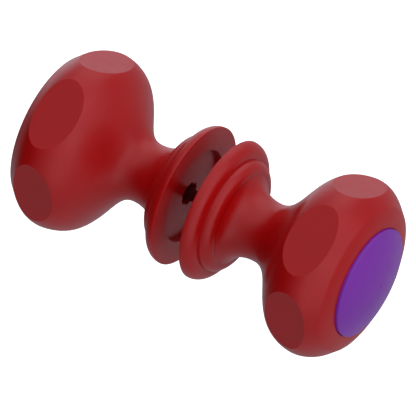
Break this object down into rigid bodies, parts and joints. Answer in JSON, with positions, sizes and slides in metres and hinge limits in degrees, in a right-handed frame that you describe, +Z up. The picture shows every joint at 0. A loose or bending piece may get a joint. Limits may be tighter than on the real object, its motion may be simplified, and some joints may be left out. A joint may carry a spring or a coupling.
{
  "type": "door knob pair",
  "caption": "Pair of faceted bulbous knobs, back to back on stepped round roses, drawn together through a panel by one tie rod, with which they turn.",
  "frame": {"origin": "on the turning axis, midway between the two roses' panel faces", "axes": "+X along the turning axis towards the right knob's cap, +Z up"},
  "size_m": [0.1282, 0.055, 0.06],
  "materials": {
    "red_plastic": "satin moulded nylon, coloured through, deep red",
    "purple_plastic": "satin moulded nylon, coloured through, purple",
    "dark_red_steel": "steel lacquered dark red, matt",
    "zinc_steel": "zinc plated steel",
    "black_nylon": "self-lubricating nylon, matt"
  },
  "bodies": {
    "left rose": {"left_rose": "red_plastic", "left_bush": "black_nylon", "left_thrust_washer": "black_nylon"},
    "left knob": {"tie_rod": "dark_red_steel", "left_knob": "red_plastic", "left_drive_plate": "red_plastic", "left_friction_washer": "black_nylon", "left_flat_washer": "zinc_steel", "left_lock_washer": "zinc_steel", "left_nut": "zinc_steel"},
    "left cap": {"left_end_cap": "purple_plastic"},
    "right rose": {"right_rose": "red_plastic", "right_bush": "black_nylon", "right_thrust_washer": "black_nylon"},
    "right knob": {"right_knob": "red_plastic", "right_drive_plate": "red_plastic", "right_friction_washer": "black_nylon", "right_flat_washer": "zinc_steel", "right_lock_washer": "zinc_steel", "right_nut": "zinc_steel"},
    "right cap": {"right_end_cap": "purple_plastic"}
  },
  "joints": [
    {"name": "left_turn", "type": "hinge", "parent": "left rose", "child": "left knob", "pos_m": [-0.0225, 0, 0], "axis": [1, 0, 0], "continuous": true},
    {"name": "panel_adjust", "type": "slide", "parent": "left rose", "child": "right rose", "axis": [1, 0, 0], "range_m": [0, 0.008]},
    {"name": "right_turn", "type": "hinge", "parent": "right rose", "child": "right knob", "pos_m": [0.0225, 0, 0], "axis": [1, 0, 0], "continuous": true},
    {"name": "left_cap_pull", "type": "slide", "parent": "left knob", "child": "left cap", "axis": [-1, 0, 0], "range_m": [0, 0.015]},
    {"name": "right_cap_pull", "type": "slide", "parent": "right knob", "child": "right cap", "axis": [1, 0, 0], "range_m": [0, 0.015]}
  ],
  "couplings": [
    {"joint": "right_turn", "follows": "left_turn", "ratio": 1}
  ]
}
